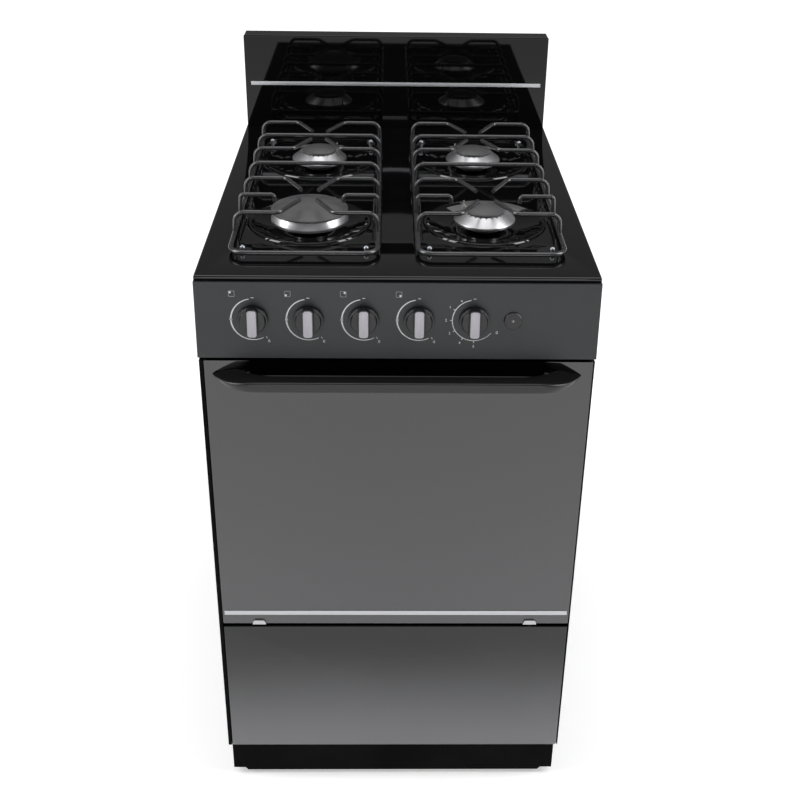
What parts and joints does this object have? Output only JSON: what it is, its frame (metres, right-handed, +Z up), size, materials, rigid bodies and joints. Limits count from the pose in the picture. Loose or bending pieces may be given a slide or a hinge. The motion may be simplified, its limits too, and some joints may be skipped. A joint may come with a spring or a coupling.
{
  "type": "free-standing gas range",
  "caption": "Free-standing gas range with a cooktop under wire pan grates, a backguard, a tilted control panel, a glass oven door with a bar handle, and a lower drawer.",
  "frame": {"origin": "on the floor, under the centre of the outline including the door handle", "axes": "+X to the right seen from the front, +Y towards the wall, +Z up"},
  "size_m": [0.508, 0.702, 1.013],
  "materials": {
    "black_enamel": "gloss vitreous enamel",
    "panel_paint": "satin enamel",
    "grate_wire": "matt vitreous enamel",
    "burner_alloy": "cast, bead blasted",
    "cap_enamel": "satin vitreous enamel",
    "bright_steel": "bright",
    "zinc_steel": "zinc plated",
    "brass": "machined",
    "door_glass": "dark, printed behind",
    "knob_plastic": "satin",
    "silver_plastic": "metallic silver",
    "handle_plastic": "satin",
    "ceramic": "glazed alumina",
    "glass_wool": "fibre blanket",
    "seal_rope": "braided glass fibre",
    "rubber": "matt",
    "module_plastic": "moulded"
  },
  "bodies": {
    "range_body": {"side_panel_right": "black_enamel", "side_panel_left": "black_enamel", "back_panel": "zinc_steel", "base_frame": "black_enamel", "feet": "rubber", "plinth": "black_enamel", "oven_cavity": "black_enamel", "oven_insulation": "glass_wool", "oven_floor": "black_enamel", "oven_burner": "zinc_steel", "oven_supply_pipe": "zinc_steel", "rack_guides": "bright_steel", "oven_rack": "bright_steel", "cooktop_panel": "black_enamel", "burner_heads": "burner_alloy", "burner_caps": "cap_enamel", "burner_mixers": "zinc_steel", "spark_electrodes": "ceramic", "grate_studs": "zinc_steel", "control_panel": "panel_paint", "gas_manifold": "zinc_steel", "gas_inlet": "brass", "gas_valves": "brass", "oven_thermostat": "brass", "button_switch": "module_plastic", "spark_module": "module_plastic", "backguard": "black_enamel", "backguard_line": "bright_steel", "hinge_receivers": "zinc_steel", "drawer_runners": "zinc_steel", "body_screws": "zinc_steel"},
    "oven_door": {"door_glass": "door_glass", "door_frame": "black_enamel", "door_insulation": "glass_wool", "door_seal": "seal_rope", "door_handle": "handle_plastic", "door_line": "bright_steel", "door_clips": "bright_steel", "hinge_arms": "zinc_steel"},
    "drawer": {"drawer_front": "black_enamel", "drawer_box": "zinc_steel"},
    "grate_left": {"grate_left": "grate_wire"},
    "grate_right": {"grate_right": "grate_wire"},
    "ignition_button": {"ignition_button": "knob_plastic"},
    "valve_stem_rear_left": {"valve_stem_rear_left": "zinc_steel"},
    "knob_rear_left": {"knob_rear_left": "knob_plastic", "knob_insert_rear_left": "silver_plastic"},
    "valve_stem_front_left": {"valve_stem_front_left": "zinc_steel"},
    "knob_front_left": {"knob_front_left": "knob_plastic", "knob_insert_front_left": "silver_plastic"},
    "valve_stem_rear_right": {"valve_stem_rear_right": "zinc_steel"},
    "knob_rear_right": {"knob_rear_right": "knob_plastic", "knob_insert_rear_right": "silver_plastic"},
    "valve_stem_front_right": {"valve_stem_front_right": "zinc_steel"},
    "knob_front_right": {"knob_front_right": "knob_plastic", "knob_insert_front_right": "silver_plastic"},
    "valve_stem_oven": {"valve_stem_oven": "zinc_steel"},
    "knob_oven": {"knob_oven": "knob_plastic", "knob_insert_oven": "silver_plastic"}
  },
  "joints": [
    {"name": "oven_door_hinge", "type": "hinge", "parent": "range_body", "child": "oven_door", "pos_m": [0, -0.295, 0.328], "axis": [1, 0, 0], "range_deg": [0, 90]},
    {"name": "drawer_slide", "type": "slide", "parent": "range_body", "child": "drawer", "axis": [0, -1, 0], "range_m": [0, 0.33]},
    {"name": "grate_left_lift", "type": "slide", "parent": "range_body", "child": "grate_left", "axis": [0, 0, 1], "range_m": [0, 0.06]},
    {"name": "grate_right_lift", "type": "slide", "parent": "range_body", "child": "grate_right", "axis": [0, 0, 1], "range_m": [0, 0.06]},
    {"name": "ignition_button_push", "type": "slide", "parent": "range_body", "child": "ignition_button", "axis": [0, 0.9981, -0.061], "range_m": [0, 0.003], "stiffness_N_per_m": 600},
    {"name": "knob_rear_left_push", "type": "slide", "parent": "range_body", "child": "valve_stem_rear_left", "axis": [0, 0.9981, -0.061], "range_m": [0, 0.003], "stiffness_N_per_m": 1200},
    {"name": "knob_rear_left_turn", "type": "hinge", "parent": "valve_stem_rear_left", "child": "knob_rear_left", "pos_m": [-0.1815, -0.30329, 0.8015], "axis": [0, -0.9981, 0.061], "range_deg": [0, 215]},
    {"name": "knob_front_left_push", "type": "slide", "parent": "range_body", "child": "valve_stem_front_left", "axis": [0, 0.9981, -0.061], "range_m": [0, 0.003], "stiffness_N_per_m": 1200},
    {"name": "knob_front_left_turn", "type": "hinge", "parent": "valve_stem_front_left", "child": "knob_front_left", "pos_m": [-0.11213, -0.30329, 0.8015], "axis": [0, -0.9981, 0.061], "range_deg": [0, 215]},
    {"name": "knob_rear_right_push", "type": "slide", "parent": "range_body", "child": "valve_stem_rear_right", "axis": [0, 0.9981, -0.061], "range_m": [0, 0.003], "stiffness_N_per_m": 1200},
    {"name": "knob_rear_right_turn", "type": "hinge", "parent": "valve_stem_rear_right", "child": "knob_rear_right", "pos_m": [-0.04275, -0.30329, 0.8015], "axis": [0, -0.9981, 0.061], "range_deg": [0, 215]},
    {"name": "knob_front_right_push", "type": "slide", "parent": "range_body", "child": "valve_stem_front_right", "axis": [0, 0.9981, -0.061], "range_m": [0, 0.003], "stiffness_N_per_m": 1200},
    {"name": "knob_front_right_turn", "type": "hinge", "parent": "valve_stem_front_right", "child": "knob_front_right", "pos_m": [0.02662, -0.30329, 0.8015], "axis": [0, -0.9981, 0.061], "range_deg": [0, 215]},
    {"name": "knob_oven_push", "type": "slide", "parent": "range_body", "child": "valve_stem_oven", "axis": [0, 0.9981, -0.061], "range_m": [0, 0.003], "stiffness_N_per_m": 1200},
    {"name": "knob_oven_turn", "type": "hinge", "parent": "valve_stem_oven", "child": "knob_oven", "pos_m": [0.096, -0.30329, 0.8015], "axis": [0, -0.9981, 0.061], "range_deg": [0, 230]}
  ]
}
